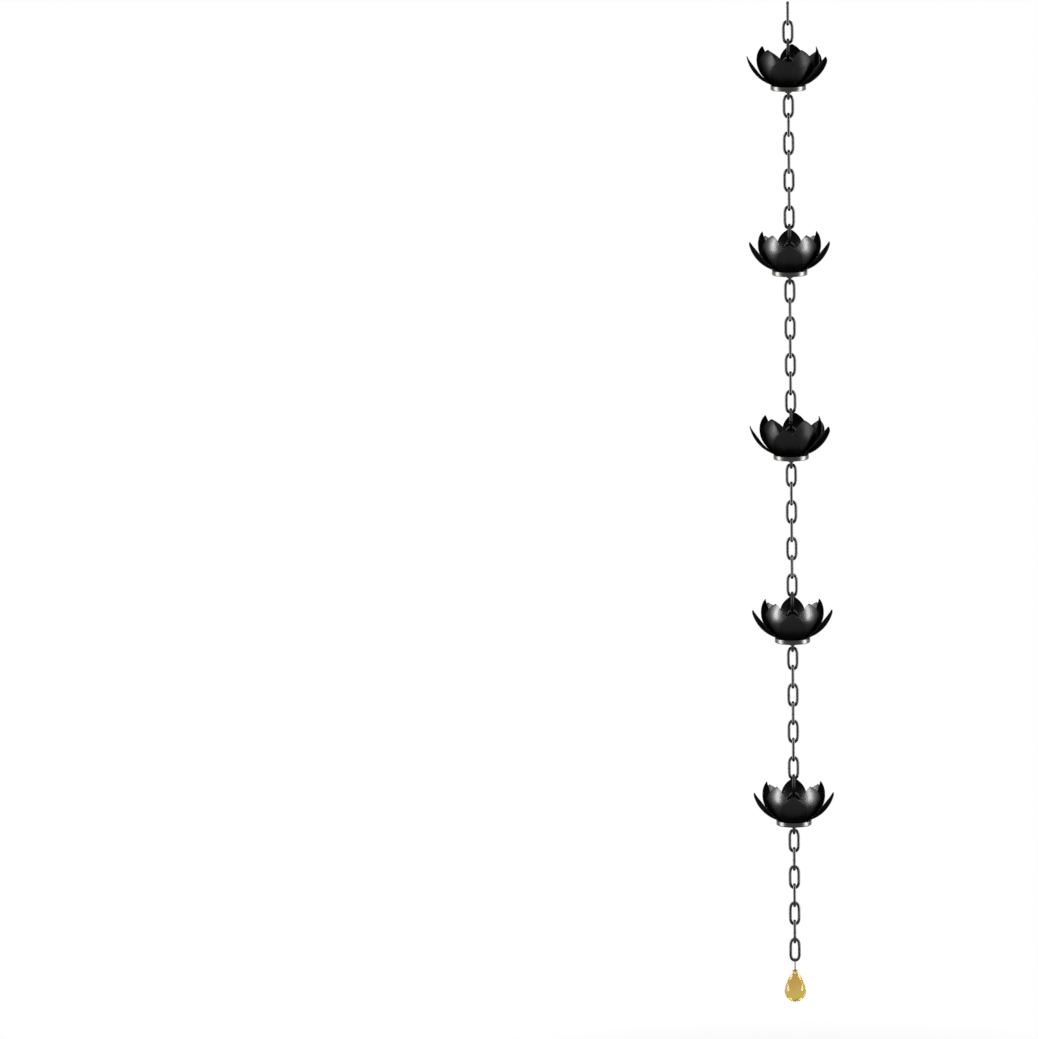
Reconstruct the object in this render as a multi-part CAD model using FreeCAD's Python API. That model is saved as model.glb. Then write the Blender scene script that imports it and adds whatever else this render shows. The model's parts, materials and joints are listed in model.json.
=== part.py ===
import FreeCAD, Part
import math
import os

# Lotus rain chain: oval wire links carry two-layer lotus cups, with a cut-glass drop at the end.
# Millimetres. +Z is up, the front is towards -Y, and the chain hangs down the Z axis.
# The origin is where a hook bears, under the upper bow of the top link.

# Chain links
LINK_WIRE = 5.0             # diameter of the wire
LINK_EYE_LENGTH = 31.0      # clear length inside a link
LINK_EYE_WIDTH = 9.5        # clear width inside a link
LINK_BOW_GAIN = 0.8         # how much tighter the bows are than a plain half circle
LINK_SHOULDER = 20.0        # centreline radius between bow and leg
LINK_PLAY = 0.15            # clearance where one bow bears on the next
SEAM_WIDTH = 2.2            # butt weld half way down one leg, along the wire
SEAM_PROUD = 0.22           # how far the weld stands out of the wire

# Order of the links and cups down the chain
CUPS = 5
LINKS_TO_FIRST_CUP = 5      # the last of them goes through the first cup's floor
LINKS_PER_CUP = 10
TAIL_LINKS = 7
LINKS_INSIDE_CUP = 3
CUP_TURNS = (-8.0, 0.0, -8.0, 0.0, 0.0)     # how far each cup has turned on the chain, degrees

# Collar: a pressed band under the petals, turned in at both edges
COLLAR_RADIUS = 29.5
COLLAR_HEIGHT = 8.5
COLLAR_WALL = 1.2
COLLAR_TOP_WIDTH = 7.5      # width of the turned-in top that the petals are fixed to
COLLAR_LIP_WIDTH = 2.6      # width of the turned-in lower edge
COLLAR_TOP_BEND = 0.3       # inside radius of the upper edge
COLLAR_LIP_BEND = 0.8       # inside radius of the lower edge

# Hanger bar: crosses the collar through the eye of the link above and rests on the link below
BAR_DIAMETER = 4.0
BAR_RISE = 0.6              # underside of the bar above the collar's lower edge
BAR_FIT = 0.1               # between the bar's ends and the lip that holds them
BAR_PLAY = 0.15             # between the bar and the bow that it rests on
BAR_DIP = 7.0               # how far the bar's middle dips, to hang the cup higher on the chain
BAR_BEND = 5.0              # centreline radius of the dip's bends

# Petal sheets, stamped and formed alike
SHEET = 0.8
PETALS = 5
SEAT_GAP = 0.05             # between collar, outer sheet and inner sheet
DRAIN_GAP = 3.25            # between the link and the edge of the hole in the floor
ROOT_GAP = 1.2              # between neighbouring petals where they leave the floor
PETAL_HALF_WIDTH = 21.6     # at the widest place
PETAL_WIDEST = 0.49         # share of the petal's length where it is widest
PETAL_ROOT_POWER = 1.7      # how the outline swells from the root to the widest place
PETAL_TIP_POWER = 3.2       # how the outline closes to its pointed arch
PETAL_TIP_HALF_WIDTH = 0.7
PETAL_CUPPING_RADIUS = 52.0     # radius across the petal, once it is fully formed
PETAL_CUPPING_LENGTH = 25.0     # length over which the cupping comes in

# Outer petals lie open
OUTER_FOLD_LENGTH = 7.0     # the fold at the root, along the petal
OUTER_FOLD_ANGLE = 20.0     # slope at the end of the fold
OUTER_LENGTH = 73.0         # the whole petal, along its keel
OUTER_TIP_ANGLE = 82.0      # slope at the tip

# Inner petals stand up and close in at their tips
INNER_FOLD_LENGTH = 8.0
INNER_FOLD_ANGLE = 24.0
INNER_LENGTH = 79.5
INNER_TIP_ANGLE = 118.0

# Spans between the stations of the petal surfaces
KEEL_SPANS = 18
WIDTH_SPANS = 8

# Ring that joins the drop to the last link
RING_WIRE = 1.8
RING_EYE_LENGTH = 22.0
RING_SIDE_GAP = 1.2         # between the ring's legs and the last link's wire
RING_BOW_GAIN = 0.3
RING_SHOULDER = 12.0

# Cut-glass drop
DROP_LENGTH = 55.0
DROP_WIDTH = 36.0
DROP_THICKNESS = 13.0
DROP_TIP_WIDTH = 6.4        # width of the short flat top
DROP_RIM = 1.6              # thickness at the rim
DROP_TAPER_POWER = 1.45     # how the sides run from the round end to the top
DROP_SIDES = 16             # facets round the rim
DROP_TABLE_SHARE = 0.62     # size of the flat table against the outline
DROP_CROWN_SHARE = 0.84     # size of the ring of corners between table and rim
DROP_CROWN_HEIGHT_SHARE = 0.5   # share of the thickness gained from rim to crown
DROP_HOLE = 4.0
DROP_HOLE_DEPTH = 4.8       # from the top of the drop to the centre of the hole
DROP_PLAY = 0.2             # between the ring's lower bow and the edge of the hole

UP = FreeCAD.Vector(0, 0, 1)
CENTRE = FreeCAD.Vector(0, 0, 0)
HALF_EYE = LINK_EYE_LENGTH / 2
PITCH = LINK_EYE_LENGTH - LINK_PLAY
LINK_COUNT = LINKS_TO_FIRST_CUP + LINKS_PER_CUP * (CUPS - 1) + TAIL_LINKS
HALF_SECTOR = math.pi / PETALS
TO_FRONT = -90.0            # turns a petal from +X to the front


def vec(x, y, z):
    return FreeCAD.Vector(x, y, z)


def closed_solid(faces):
    """Sews faces that share their edges into one solid that points outwards."""
    sewn = Part.makeCompound(faces)
    sewn.sewShape()
    solid = Part.makeSolid(sewn.Shells[0])
    if solid.Volume < 0:
        solid.reverse()
    return solid


# Links

def wire_arc(centre, radius, wire, first_angle, last_angle):
    """One arc of a link in the XZ plane: a disc turned about the arc's own axis."""
    start = math.radians(first_angle)
    along = vec(math.cos(start), 0, math.sin(start))
    tangent = vec(-along.z, 0, along.x)
    disc = Part.Face(Part.Wire(Part.makeCircle(wire / 2, centre + along * radius, tangent)))
    return disc.revolve(centre, vec(0, -1, 0), last_angle - first_angle)


def oval(eye_length, eye_width, wire, bow_radius, shoulder_radius):
    """A link centred on the origin in the XZ plane: two bows, four wide shoulders, two legs.

    Bow and shoulder meet where the tight arc, centred on the axis, and the wide one, centred
    level with the leg's end, have the same normal.
    """
    half_width = (eye_width + wire) / 2
    bow_z = (eye_length + wire) / 2 - bow_radius
    meet = math.acos((shoulder_radius - half_width) / (shoulder_radius - bow_radius))
    shoulder_x = half_width - shoulder_radius
    leg_end = bow_z - (shoulder_radius - bow_radius) * math.sin(meet)
    swing = math.degrees(meet)
    leg_foot = Part.makeCircle(wire / 2, vec(half_width, 0, -leg_end), UP)
    leg = Part.Face(Part.Wire(leg_foot)).extrude(UP * 2 * leg_end)
    upper_shoulder = wire_arc(vec(shoulder_x, 0, leg_end), shoulder_radius, wire, 0, swing)
    lower_shoulder = wire_arc(vec(shoulder_x, 0, -leg_end), shoulder_radius, wire, -swing, 0)
    right = [leg, upper_shoulder, lower_shoulder]
    left = [piece.mirror(CENTRE, vec(1, 0, 0)) for piece in right]
    upper_bow = wire_arc(vec(0, 0, bow_z), bow_radius, wire, swing, 180 - swing)
    lower_bow = wire_arc(vec(0, 0, -bow_z), bow_radius, wire, swing - 180, -swing)
    return upper_bow.multiFuse([lower_bow] + right + left).removeSplitter()


def weld_bead():
    """A low barrel round the wire, at the origin, along Z; its ends dip under the wire's skin."""
    crest = LINK_WIRE / 2 + SEAM_PROUD
    dip = LINK_WIRE / 2 - SEAM_PROUD
    core = LINK_WIRE / 4
    half = SEAM_WIDTH / 2
    crown = Part.Arc(vec(dip, 0, -half), vec(crest, 0, 0), vec(dip, 0, half)).toShape()
    inside = Part.makePolygon([vec(dip, 0, half), vec(core, 0, half), vec(core, 0, -half),
                               vec(dip, 0, -half)])
    return Part.Face(Part.Wire([crown] + inside.Edges)).revolve(CENTRE, UP, 360)


def welded_link():
    """An oval link with its butt weld half way down the right-hand leg."""
    bead = weld_bead()
    bead.translate(vec((LINK_EYE_WIDTH + LINK_WIRE) / 2, 0, 0))
    bow = (LINK_EYE_WIDTH + LINK_WIRE) / 2 - LINK_BOW_GAIN
    plain = oval(LINK_EYE_LENGTH, LINK_EYE_WIDTH, LINK_WIRE, bow, LINK_SHOULDER)
    return plain.fuse(bead)


def link_centre(number):
    """Height of a link's middle; link 1 is at the top."""
    return -HALF_EYE - PITCH * (number - 1)


def placed_link(pattern, number):
    """Odd links lie edge-on to the front and even ones face it; the welds change sides."""
    quarter_turn = 90 if number % 2 else 0
    half_turn = 180 if (number // 2) % 2 else 0
    link = pattern.copy()
    link.rotate(CENTRE, UP, quarter_turn + half_turn)
    link.translate(vec(0, 0, link_centre(number)))
    return link


def chain_nodes():
    """A node for each link, and one for each group of links that hang inside a cup."""
    inside = {}
    for cup in range(CUPS):
        last = through_link(cup)
        for number in range(last - LINKS_INSIDE_CUP + 1, last + 1):
            inside[number] = f"cup_{cup + 1}_links"
    pattern = welded_link()
    groups = {}
    for number in range(1, LINK_COUNT + 1):
        name = inside.get(number, f"link_{number:02d}")
        groups.setdefault(name, []).append(placed_link(pattern, number))
    return {name: links[0] if len(links) == 1 else Part.makeCompound(links)
            for name, links in groups.items()}


# Collar and bar

def through_link(cup):
    """Number of the link that goes through a cup's floor; cups count from 0."""
    return LINKS_TO_FIRST_CUP + LINKS_PER_CUP * cup


def collar_bottom(cup):
    """Lower edge of a cup's collar: the bar in it rests on the upper bow of the next link."""
    bearing = link_centre(through_link(cup) + 1) + HALF_EYE + LINK_WIRE
    return bearing + BAR_PLAY - BAR_RISE + BAR_DIP


def collar():
    """The pressed band: a section of even thickness turned about the axis, from z = 0 up."""
    lip_bend = COLLAR_LIP_BEND + COLLAR_WALL
    top_bend = COLLAR_TOP_BEND + COLLAR_WALL
    lip_centre = vec(COLLAR_RADIUS - lip_bend, 0, lip_bend)
    top_centre = vec(COLLAR_RADIUS - top_bend, 0, COLLAR_HEIGHT - top_bend)
    lip_edge = COLLAR_RADIUS - COLLAR_LIP_WIDTH
    top_edge = COLLAR_RADIUS - COLLAR_TOP_WIDTH

    def skin(depth):
        """The section's line at a depth from its outside, from the lip round to the top."""
        points = []
        for centre, radius, first in ((lip_centre, lip_bend - depth, -90),
                                      (top_centre, top_bend - depth, 0)):
            points.append([centre + vec(math.cos(a), 0, math.sin(a)) * radius
                           for a in (math.radians(first + turn) for turn in (0, 45, 90))])
        low, high = points
        start = vec(lip_edge, 0, depth)
        end = vec(top_edge, 0, COLLAR_HEIGHT - depth)
        edges = [Part.makeLine(start, low[0]), Part.Arc(*low).toShape(),
                 Part.makeLine(low[2], high[0]), Part.Arc(*high).toShape(),
                 Part.makeLine(high[2], end)]
        return start, end, edges

    outer_start, outer_end, outside = skin(0)
    inner_start, inner_end, inside = skin(COLLAR_WALL)
    ends = [Part.makeLine(outer_end, inner_end), Part.makeLine(inner_start, outer_start)]
    section = Part.Wire(outside + ends[:1] + inside[::-1] + ends[1:])
    return Part.Face(section).revolve(CENTRE, UP, 360)


def hanger_bar():
    """The bar along X, dipped in its middle, with ends rounded to the lip that they meet.

    The dip's bottom arc and its two shoulders share one radius and meet at one slope.
    """
    reach = COLLAR_RADIUS - COLLAR_LIP_WIDTH - BAR_FIT
    level = BAR_RISE + BAR_DIAMETER / 2
    meet = math.acos(1 - BAR_DIP / (2 * BAR_BEND))
    dip_half_width = 2 * BAR_BEND * math.sin(meet)
    swing = math.degrees(meet)
    bottom = wire_arc(vec(0, 0, level - BAR_DIP + BAR_BEND), BAR_BEND, BAR_DIAMETER,
                      -90 - swing, -90 + swing)
    shoulder = wire_arc(vec(dip_half_width, 0, level - BAR_BEND), BAR_BEND, BAR_DIAMETER,
                        90, 90 + swing)
    end = Part.makeCylinder(BAR_DIAMETER / 2, reach - dip_half_width,
                            vec(dip_half_width, 0, level), vec(1, 0, 0))
    right = [shoulder, end]
    left = [piece.mirror(CENTRE, vec(1, 0, 0)) for piece in right]
    bar = bottom.multiFuse(right + left).removeSplitter()
    height = BAR_DIP + 2 * BAR_DIAMETER
    return bar.common(Part.makeCylinder(reach, height, vec(0, 0, -BAR_DIP)))


# Petal sheets

def floor_apothem(corner_radius):
    """Distance of the fold lines from the axis, for a floor whose corners lie at a radius."""
    return (corner_radius + ROOT_GAP / 2 * math.sin(HALF_SECTOR)) * math.cos(HALF_SECTOR)


class Petal:
    """One layer's petal: where it folds up from the floor and how far it curls."""

    def __init__(self, apothem, fold_length, fold_angle, length, tip_angle):
        self.apothem = apothem
        self.root_half_width = apothem * math.tan(HALF_SECTOR) - ROOT_GAP / 2
        self.fold_length = fold_length
        self.fold_angle = math.radians(fold_angle)
        self.length = length
        self.tip_angle = math.radians(tip_angle)

    def keel(self, distance):
        """Radius, height and slope of the middle line: the fold's arc, then the body's."""
        fold_radius = self.fold_length / self.fold_angle
        slope = min(distance, self.fold_length) / fold_radius
        radius = self.apothem + fold_radius * math.sin(slope)
        height = fold_radius * (1 - math.cos(slope))
        if distance > self.fold_length:
            body_radius = (self.length - self.fold_length) / (self.tip_angle - self.fold_angle)
            slope = self.fold_angle + (distance - self.fold_length) / body_radius
            radius += body_radius * (math.sin(slope) - math.sin(self.fold_angle))
            height += body_radius * (math.cos(self.fold_angle) - math.cos(slope))
        return radius, height, slope

    def half_width(self, share):
        """Half the width at a share of the length: a swell from the root, then a pointed arch."""
        if share < PETAL_WIDEST:
            short_of = (1 - share / PETAL_WIDEST)**PETAL_ROOT_POWER
            return PETAL_HALF_WIDTH - (PETAL_HALF_WIDTH - self.root_half_width) * short_of
        past = ((share - PETAL_WIDEST) / (1 - PETAL_WIDEST))**PETAL_TIP_POWER
        return PETAL_HALF_WIDTH - (PETAL_HALF_WIDTH - PETAL_TIP_HALF_WIDTH) * past

    def bend_across(self, distance):
        """Curvature across the petal: none at the fold line, rising smoothly to the full value."""
        grown = min(distance / PETAL_CUPPING_LENGTH, 1.0)
        return grown * grown * (3 - 2 * grown) / PETAL_CUPPING_RADIUS

    def point(self, share, across, depth):
        """A point of the sheet: across runs from -1 to 1, and depth from the lower skin up."""
        distance = share * self.length
        radius, height, slope = self.keel(distance)
        offset = self.half_width(share) * across
        bend = self.bend_across(distance)
        lean = math.sqrt(1 - (bend * offset)**2)
        rise = bend * offset**2 / (1 + lean) + depth * lean
        side = offset * (1 - depth * bend)
        return vec(radius - rise * math.sin(slope), side, height + rise * math.cos(slope))

    def skin(self, depth):
        """A smooth surface through a grid of points at one depth in the sheet."""
        rows = [[self.point(i / KEEL_SPANS, 2 * j / WIDTH_SPANS - 1, depth)
                 for j in range(WIDTH_SPANS + 1)] for i in range(KEEL_SPANS + 1)]
        surface = Part.BSplineSurface()
        surface.interpolate(rows)
        return surface

    def faces(self):
        """Both skins and the cut edge between them, open at the fold line."""
        lower, upper = self.skin(0), self.skin(SHEET)
        cut = [Part.makeRuledSurface(a, b) for a, b in zip(cut_lines(lower), cut_lines(upper))]
        return [lower.toShape(), upper.toShape()] + cut

    def root_corners(self):
        """The two ends of the fold line."""
        return [vec(self.apothem, side * self.root_half_width, 0) for side in (-1, 1)]


def cut_lines(surface):
    """The two sides and the tip of a petal's surface."""
    _, tip, left, right = surface.bounds()
    curves = [surface.vIso(left), surface.vIso(right), surface.uIso(tip)]
    return [curve.toShape() for curve in curves]


def drain_radius():
    """The hole in the floor clears the link that goes through it."""
    return LINK_EYE_WIDTH / 2 + LINK_WIRE + DRAIN_GAP


def petal_sheet(petal):
    """One stamped sheet: a floor with a round hole, and petals that fold up from its sides."""
    faces = []
    corners = []
    for k in range(PETALS):
        turn = FreeCAD.Rotation(UP, 360 / PETALS * k)
        for face in petal.faces():
            face.Placement = FreeCAD.Placement(CENTRE, turn)
            faces.append(face)
        corners += [turn.multVec(corner) for corner in petal.root_corners()]
    outline = Part.makePolygon(corners + corners[:1])
    hole = Part.makeCircle(drain_radius())
    for height in (0, SHEET):
        floor = Part.Face(outline).cut(Part.Face(Part.Wire(hole)))
        floor.translate(UP * height)
        faces += floor.Faces
    for start, end in zip(corners[1::2], corners[2::2] + corners[:1]):
        faces.append(Part.makeLine(start, end).extrude(UP * SHEET))
    faces.append(hole.extrude(UP * SHEET))
    return closed_solid(faces)


# Cups

def cup_nodes():
    """Each cup's collar and two petal sheets, and the bars of all the cups as one node."""
    flat_top_radius = COLLAR_RADIUS - COLLAR_TOP_BEND - COLLAR_WALL
    outer_apothem = floor_apothem(flat_top_radius)
    inner_apothem = floor_apothem(outer_apothem)
    outer_petal = Petal(outer_apothem, OUTER_FOLD_LENGTH, OUTER_FOLD_ANGLE, OUTER_LENGTH,
                        OUTER_TIP_ANGLE)
    inner_petal = Petal(inner_apothem, INNER_FOLD_LENGTH, INNER_FOLD_ANGLE, INNER_LENGTH,
                        INNER_TIP_ANGLE)
    outer_height = COLLAR_HEIGHT + SEAT_GAP
    inner_height = outer_height + SHEET + SEAT_GAP
    to_gap = TO_FRONT + math.degrees(HALF_SECTOR)
    pieces = {
        "collar": (collar(), 0, 0),
        "outer_petals": (petal_sheet(outer_petal), outer_height, TO_FRONT),
        "inner_petals": (petal_sheet(inner_petal), inner_height, to_gap),
        "bar": (hanger_bar(), 0, 0),
    }
    nodes = {}
    bars = []
    for cup in range(CUPS):
        own_turn = CUP_TURNS[cup % len(CUP_TURNS)]
        for name, (pattern, height, angle) in pieces.items():
            piece = pattern.copy()
            piece.rotate(CENTRE, UP, own_turn + angle)
            piece.translate(vec(0, 0, collar_bottom(cup) + height))
            if name == "bar":
                bars.append(piece)
            else:
                nodes[f"cup_{cup + 1}_{name}"] = piece
    nodes["hanger_bars"] = Part.makeCompound(bars)
    return nodes


# Ring and drop

def ring_centre():
    """The ring hangs in the last link's eye as another link would."""
    return link_centre(LINK_COUNT) - HALF_EYE + LINK_PLAY - RING_EYE_LENGTH / 2


def ring_bow():
    """Centreline radius of the ring's bows."""
    return LINK_WIRE / 2 + RING_SIDE_GAP + RING_WIRE / 2 - RING_BOW_GAIN


def drop_ring():
    """The ring stands edge-on to the front, so that it goes through the drop's hole."""
    eye_width = LINK_WIRE + 2 * RING_SIDE_GAP
    ring = oval(RING_EYE_LENGTH, eye_width, RING_WIRE, ring_bow(), RING_SHOULDER)
    ring.rotate(CENTRE, UP, 90)
    ring.translate(vec(0, 0, ring_centre()))
    return ring


def drop_rim():
    """Corners of the outline, from the top round to the right: a taper, then a half circle."""
    radius = DROP_WIDTH / 2
    half_tip = DROP_TIP_WIDTH / 2
    taper_length = DROP_LENGTH - radius
    steps = DROP_SIDES // 4
    right = []
    for k in range(steps, 0, -1):
        share = k / steps
        half = half_tip + (radius - half_tip) * (1 - share**DROP_TAPER_POWER)
        right.append(vec(half, 0, taper_length * (share - 1)))
    for k in range(steps + 1):
        angle = math.pi / 2 * k / steps
        right.append(vec(radius * math.cos(angle), 0, -taper_length - radius * math.sin(angle)))
    left = [vec(-p.x, 0, p.z) for p in right[-2::-1]]
    return right + left


def drop_face_half(rim, middle):
    """Facets of the front half: rim to crown to table, as triangles, and the flat table."""
    half_rim = DROP_RIM / 2
    half_table = DROP_THICKNESS / 2
    half_crown = half_rim + (half_table - half_rim) * DROP_CROWN_HEIGHT_SHARE
    following = rim[1:] + rim[:1]
    edge = [p - vec(0, half_rim, 0) for p in rim]
    crown = [middle + ((p + q) / 2 - middle) * DROP_CROWN_SHARE - vec(0, half_crown, 0)
             for p, q in zip(rim, following)]
    table = [middle + (p - middle) * DROP_TABLE_SHARE - vec(0, half_table, 0) for p in rim]
    triangles = []
    count = len(rim)
    for k in range(count):
        n = (k + 1) % count
        triangles += [(edge[k], edge[n], crown[k]), (crown[k], crown[n], edge[n]),
                      (crown[k], crown[n], table[n]), (table[k], table[n], crown[k])]
    faces = [Part.Face(Part.makePolygon(list(t) + [t[0]])) for t in triangles]
    return faces + [Part.Face(Part.makePolygon(table + table[:1]))]


def drop():
    """Two faceted faces back to back, joined by a narrow rim, with a hole near the top."""
    rim = drop_rim()
    middle = vec(0, 0, DROP_WIDTH / 2 - DROP_LENGTH)
    faces = []
    for face in drop_face_half(rim, middle):
        faces += [face, face.mirror(CENTRE, vec(0, 1, 0))]
    half_rim = vec(0, DROP_RIM / 2, 0)
    for p, q in zip(rim, rim[1:] + rim[:1]):
        faces.append(Part.makeLine(p - half_rim, q - half_rim).extrude(half_rim * 2))
    hole = Part.makeCylinder(DROP_HOLE / 2, 2 * DROP_THICKNESS,
                             vec(0, -DROP_THICKNESS, -DROP_HOLE_DEPTH), vec(0, 1, 0))
    return closed_solid(faces).cut(hole)


def placed_drop():
    """The hole's upper edge just clears the ring's lower bow, which rises through the glass."""
    crown_depth = (DROP_LENGTH - DROP_WIDTH / 2) * (1 - DROP_CROWN_SHARE)
    gained = (DROP_THICKNESS - DROP_RIM) / 2 * DROP_CROWN_HEIGHT_SHARE
    half_thickness = DROP_RIM / 2 + gained * (DROP_HOLE_DEPTH - DROP_HOLE / 2) / crown_depth
    inside = ring_bow() - RING_WIRE / 2
    rise = inside - math.sqrt(inside**2 - half_thickness**2)
    hole_top = ring_centre() - RING_EYE_LENGTH / 2 + rise + DROP_PLAY
    placed = drop()
    placed.translate(vec(0, 0, hole_top - DROP_HOLE / 2 + DROP_HOLE_DEPTH))
    return placed


os.makedirs("parts", exist_ok=True)
nodes = chain_nodes()
nodes.update(cup_nodes())
nodes["drop_ring"] = drop_ring()
nodes["glass_drop"] = placed_drop()
for node_name, shape in nodes.items():
    shape.exportStep(f"parts/{node_name}.step")
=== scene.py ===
"""Dressed model of a hanging lotus rain chain, with its stage, lamps and camera.

The scene is in metres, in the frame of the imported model: +Z is up, the front is towards -Y, and
the origin is under the upper bow of the top link. The classes hold their sizes in millimetres,
and each mesh is scaled once, when it is made.
"""

import json
import logging
import math
import re
from collections.abc import Sequence
from dataclasses import dataclass
from enum import Enum

import bpy
import numpy as np
from mathutils import Euler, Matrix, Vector

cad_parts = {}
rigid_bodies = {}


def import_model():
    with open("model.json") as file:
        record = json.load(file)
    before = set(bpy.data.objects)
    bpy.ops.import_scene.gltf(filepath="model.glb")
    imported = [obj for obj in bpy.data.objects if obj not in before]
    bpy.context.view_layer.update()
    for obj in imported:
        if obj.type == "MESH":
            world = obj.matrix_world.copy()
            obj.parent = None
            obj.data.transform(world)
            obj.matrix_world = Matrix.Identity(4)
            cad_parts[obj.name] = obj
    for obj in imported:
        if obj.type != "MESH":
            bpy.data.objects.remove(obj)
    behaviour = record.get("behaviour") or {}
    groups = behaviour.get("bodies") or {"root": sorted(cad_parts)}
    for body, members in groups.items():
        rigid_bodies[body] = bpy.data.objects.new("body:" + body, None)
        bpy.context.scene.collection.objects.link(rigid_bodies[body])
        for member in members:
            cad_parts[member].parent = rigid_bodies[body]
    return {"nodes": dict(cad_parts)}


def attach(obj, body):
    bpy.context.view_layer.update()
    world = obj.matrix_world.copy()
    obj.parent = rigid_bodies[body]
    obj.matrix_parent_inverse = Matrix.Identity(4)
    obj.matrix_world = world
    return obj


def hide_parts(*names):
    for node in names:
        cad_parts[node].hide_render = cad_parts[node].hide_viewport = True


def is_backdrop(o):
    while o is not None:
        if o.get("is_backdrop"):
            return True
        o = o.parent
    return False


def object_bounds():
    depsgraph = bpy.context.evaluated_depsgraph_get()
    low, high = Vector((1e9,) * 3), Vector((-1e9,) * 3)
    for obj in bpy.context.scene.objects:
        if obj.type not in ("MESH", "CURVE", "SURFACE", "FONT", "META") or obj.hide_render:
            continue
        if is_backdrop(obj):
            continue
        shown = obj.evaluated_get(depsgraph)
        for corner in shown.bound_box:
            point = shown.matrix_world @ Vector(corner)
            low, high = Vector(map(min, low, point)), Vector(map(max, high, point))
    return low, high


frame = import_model()

MM = 0.001
PLACES = 4                      # decimals of a millimetre within which points are one point
CUPS = 5
PETALS = 5
SECTOR = 360.0 / PETALS
HALF_SECTOR = math.radians(SECTOR / 2)

logging.basicConfig(level=logging.INFO, format="%(message)s")
log = logging.getLogger("rain_chain")


class Slot(Enum):
    """The record's material slots, by name."""

    PETALS = "petal_black"
    COLLAR = "collar_gunmetal"
    LINKS = "link_black"
    BARS = "bar_steel"
    RING = "ring_steel"


# Mesh tools

def round_angles(count: int) -> np.ndarray:
    """Angles evenly round a circle in radians, the first at 0."""
    return np.linspace(0, 2 * np.pi, count, endpoint=False)


def arc(centre: tuple[float, float], radius: float, first: float, last: float,
        count: int) -> np.ndarray:
    """Points along an arc in a plane, as rows of two numbers; angles in degrees."""
    angle = np.radians(np.linspace(first, last, count))
    return np.stack([centre[0] + radius * np.cos(angle), centre[1] + radius * np.sin(angle)],
                    axis=1)


@dataclass
class Shell:
    """Points in millimetres and the quads between them."""

    points: np.ndarray
    faces: np.ndarray

    @classmethod
    def woven(cls, x: np.ndarray, y: np.ndarray, z: np.ndarray | float, ring: bool = False,
              loop: bool = False, flipped: bool = False) -> "Shell":
        """Lays quads over a grid of points, row by row, and closes its seams and poles.

        Args:
            x: the points' x, in rows and columns; x, y and z broadcast to one grid.
            y: their y.
            z: their z.
            ring: whether each row closes on itself.
            loop: whether the last row joins the first.
            flipped: whether the quads are turned over, so that they face outwards.

        Returns:
            The skin.
        """
        points = np.stack(np.broadcast_arrays(x, y, z), axis=-1)
        rows, columns = points.shape[:2]
        i = np.arange(rows if loop else rows - 1)[:, None]
        j = np.arange(columns if ring else columns - 1)[None, :]
        below, above = i * columns, (i + 1) % rows * columns
        beside = (j + 1) % columns
        quad = [below + j, below + beside, above + beside, above + j]
        faces = np.stack(np.broadcast_arrays(*(quad[::-1] if flipped else quad)), axis=-1)
        return cls(points.reshape(-1, 3), faces.reshape(-1, 4)).welded()

    @classmethod
    def joined(cls, shells: Sequence["Shell"]) -> "Shell":
        """Puts several shells in one, each with its own points."""
        sizes = [len(shell.points) for shell in shells]
        starts = np.cumsum([0] + sizes[:-1])
        return cls(np.concatenate([shell.points for shell in shells]),
                   np.concatenate([shell.faces + start for shell, start in zip(shells, starts)]))

    def welded(self) -> "Shell":
        """Makes one point of those that share a place, so that seams and poles are closed."""
        _, first, number = np.unique(self.points.round(PLACES), axis=0, return_index=True,
                                     return_inverse=True)
        return Shell(self.points[first], number.reshape(-1)[self.faces])

    def placed(self, degrees: float, height: float) -> "Shell":
        """A copy turned about the Z axis, counter-clockwise from above, and lifted."""
        c, s = math.cos(math.radians(degrees)), math.sin(math.radians(degrees))
        turn = np.array([[c, s, 0], [-s, c, 0], [0, 0, 1]])
        return Shell(self.points @ turn + (0, 0, height), self.faces)


def make_piece(name: str, shell: Shell, crease: float | None = None) -> bpy.types.Object:
    """Makes a smooth object of a shell, in metres.

    A quad with two corners in one place becomes a triangle, and one with fewer than three
    places is dropped.

    Args:
        name: the object's name.
        shell: its points and faces.
        crease: angle in degrees past which an edge stays sharp, if any does.

    Returns:
        The new object, linked to the scene.
    """
    own = shell.faces != np.roll(shell.faces, 1, axis=1)
    corners = own.sum(axis=1)
    kept = corners >= 3
    loops = shell.faces[kept][own[kept]]
    starts = np.concatenate([[0], np.cumsum(corners[kept])[:-1]])
    mesh = bpy.data.meshes.new(name)
    mesh.vertices.add(len(shell.points))
    mesh.vertices.foreach_set("co", (shell.points * MM).ravel())
    mesh.loops.add(len(loops))
    mesh.loops.foreach_set("vertex_index", loops)
    mesh.polygons.add(len(starts))
    mesh.polygons.foreach_set("loop_start", starts)
    mesh.update(calc_edges=True)
    mesh.validate()
    mesh.shade_smooth()
    if crease is not None:
        mesh.set_sharp_from_angle(angle=math.radians(crease))
    piece = bpy.data.objects.new(name, mesh)
    bpy.context.scene.collection.objects.link(piece)
    return piece


def deliver(piece: bpy.types.Object, finish: bpy.types.Material, node: str) -> None:
    """Gives a piece its finish, its body and the node that it stands for.

    Args:
        piece: the finished object.
        finish: the material.
        node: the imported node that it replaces.
    """
    piece.data.materials.append(finish)
    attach(piece, "root")
    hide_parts(node)
    log.info("%s: %d faces", piece.name, len(piece.data.polygons))


# Finishes

def linear(colour: str) -> tuple[float, float, float, float]:
    """Turns an sRGB hex colour such as "#1c1c1d" into linear red, green, blue and alpha 1."""
    values = [int(colour[i:i + 2], 16) / 255 for i in (1, 3, 5)]
    r, g, b = (v / 12.92 if v <= 0.04045 else ((v + 0.055) / 1.055)**2.4 for v in values)
    return r, g, b, 1.0


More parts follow.
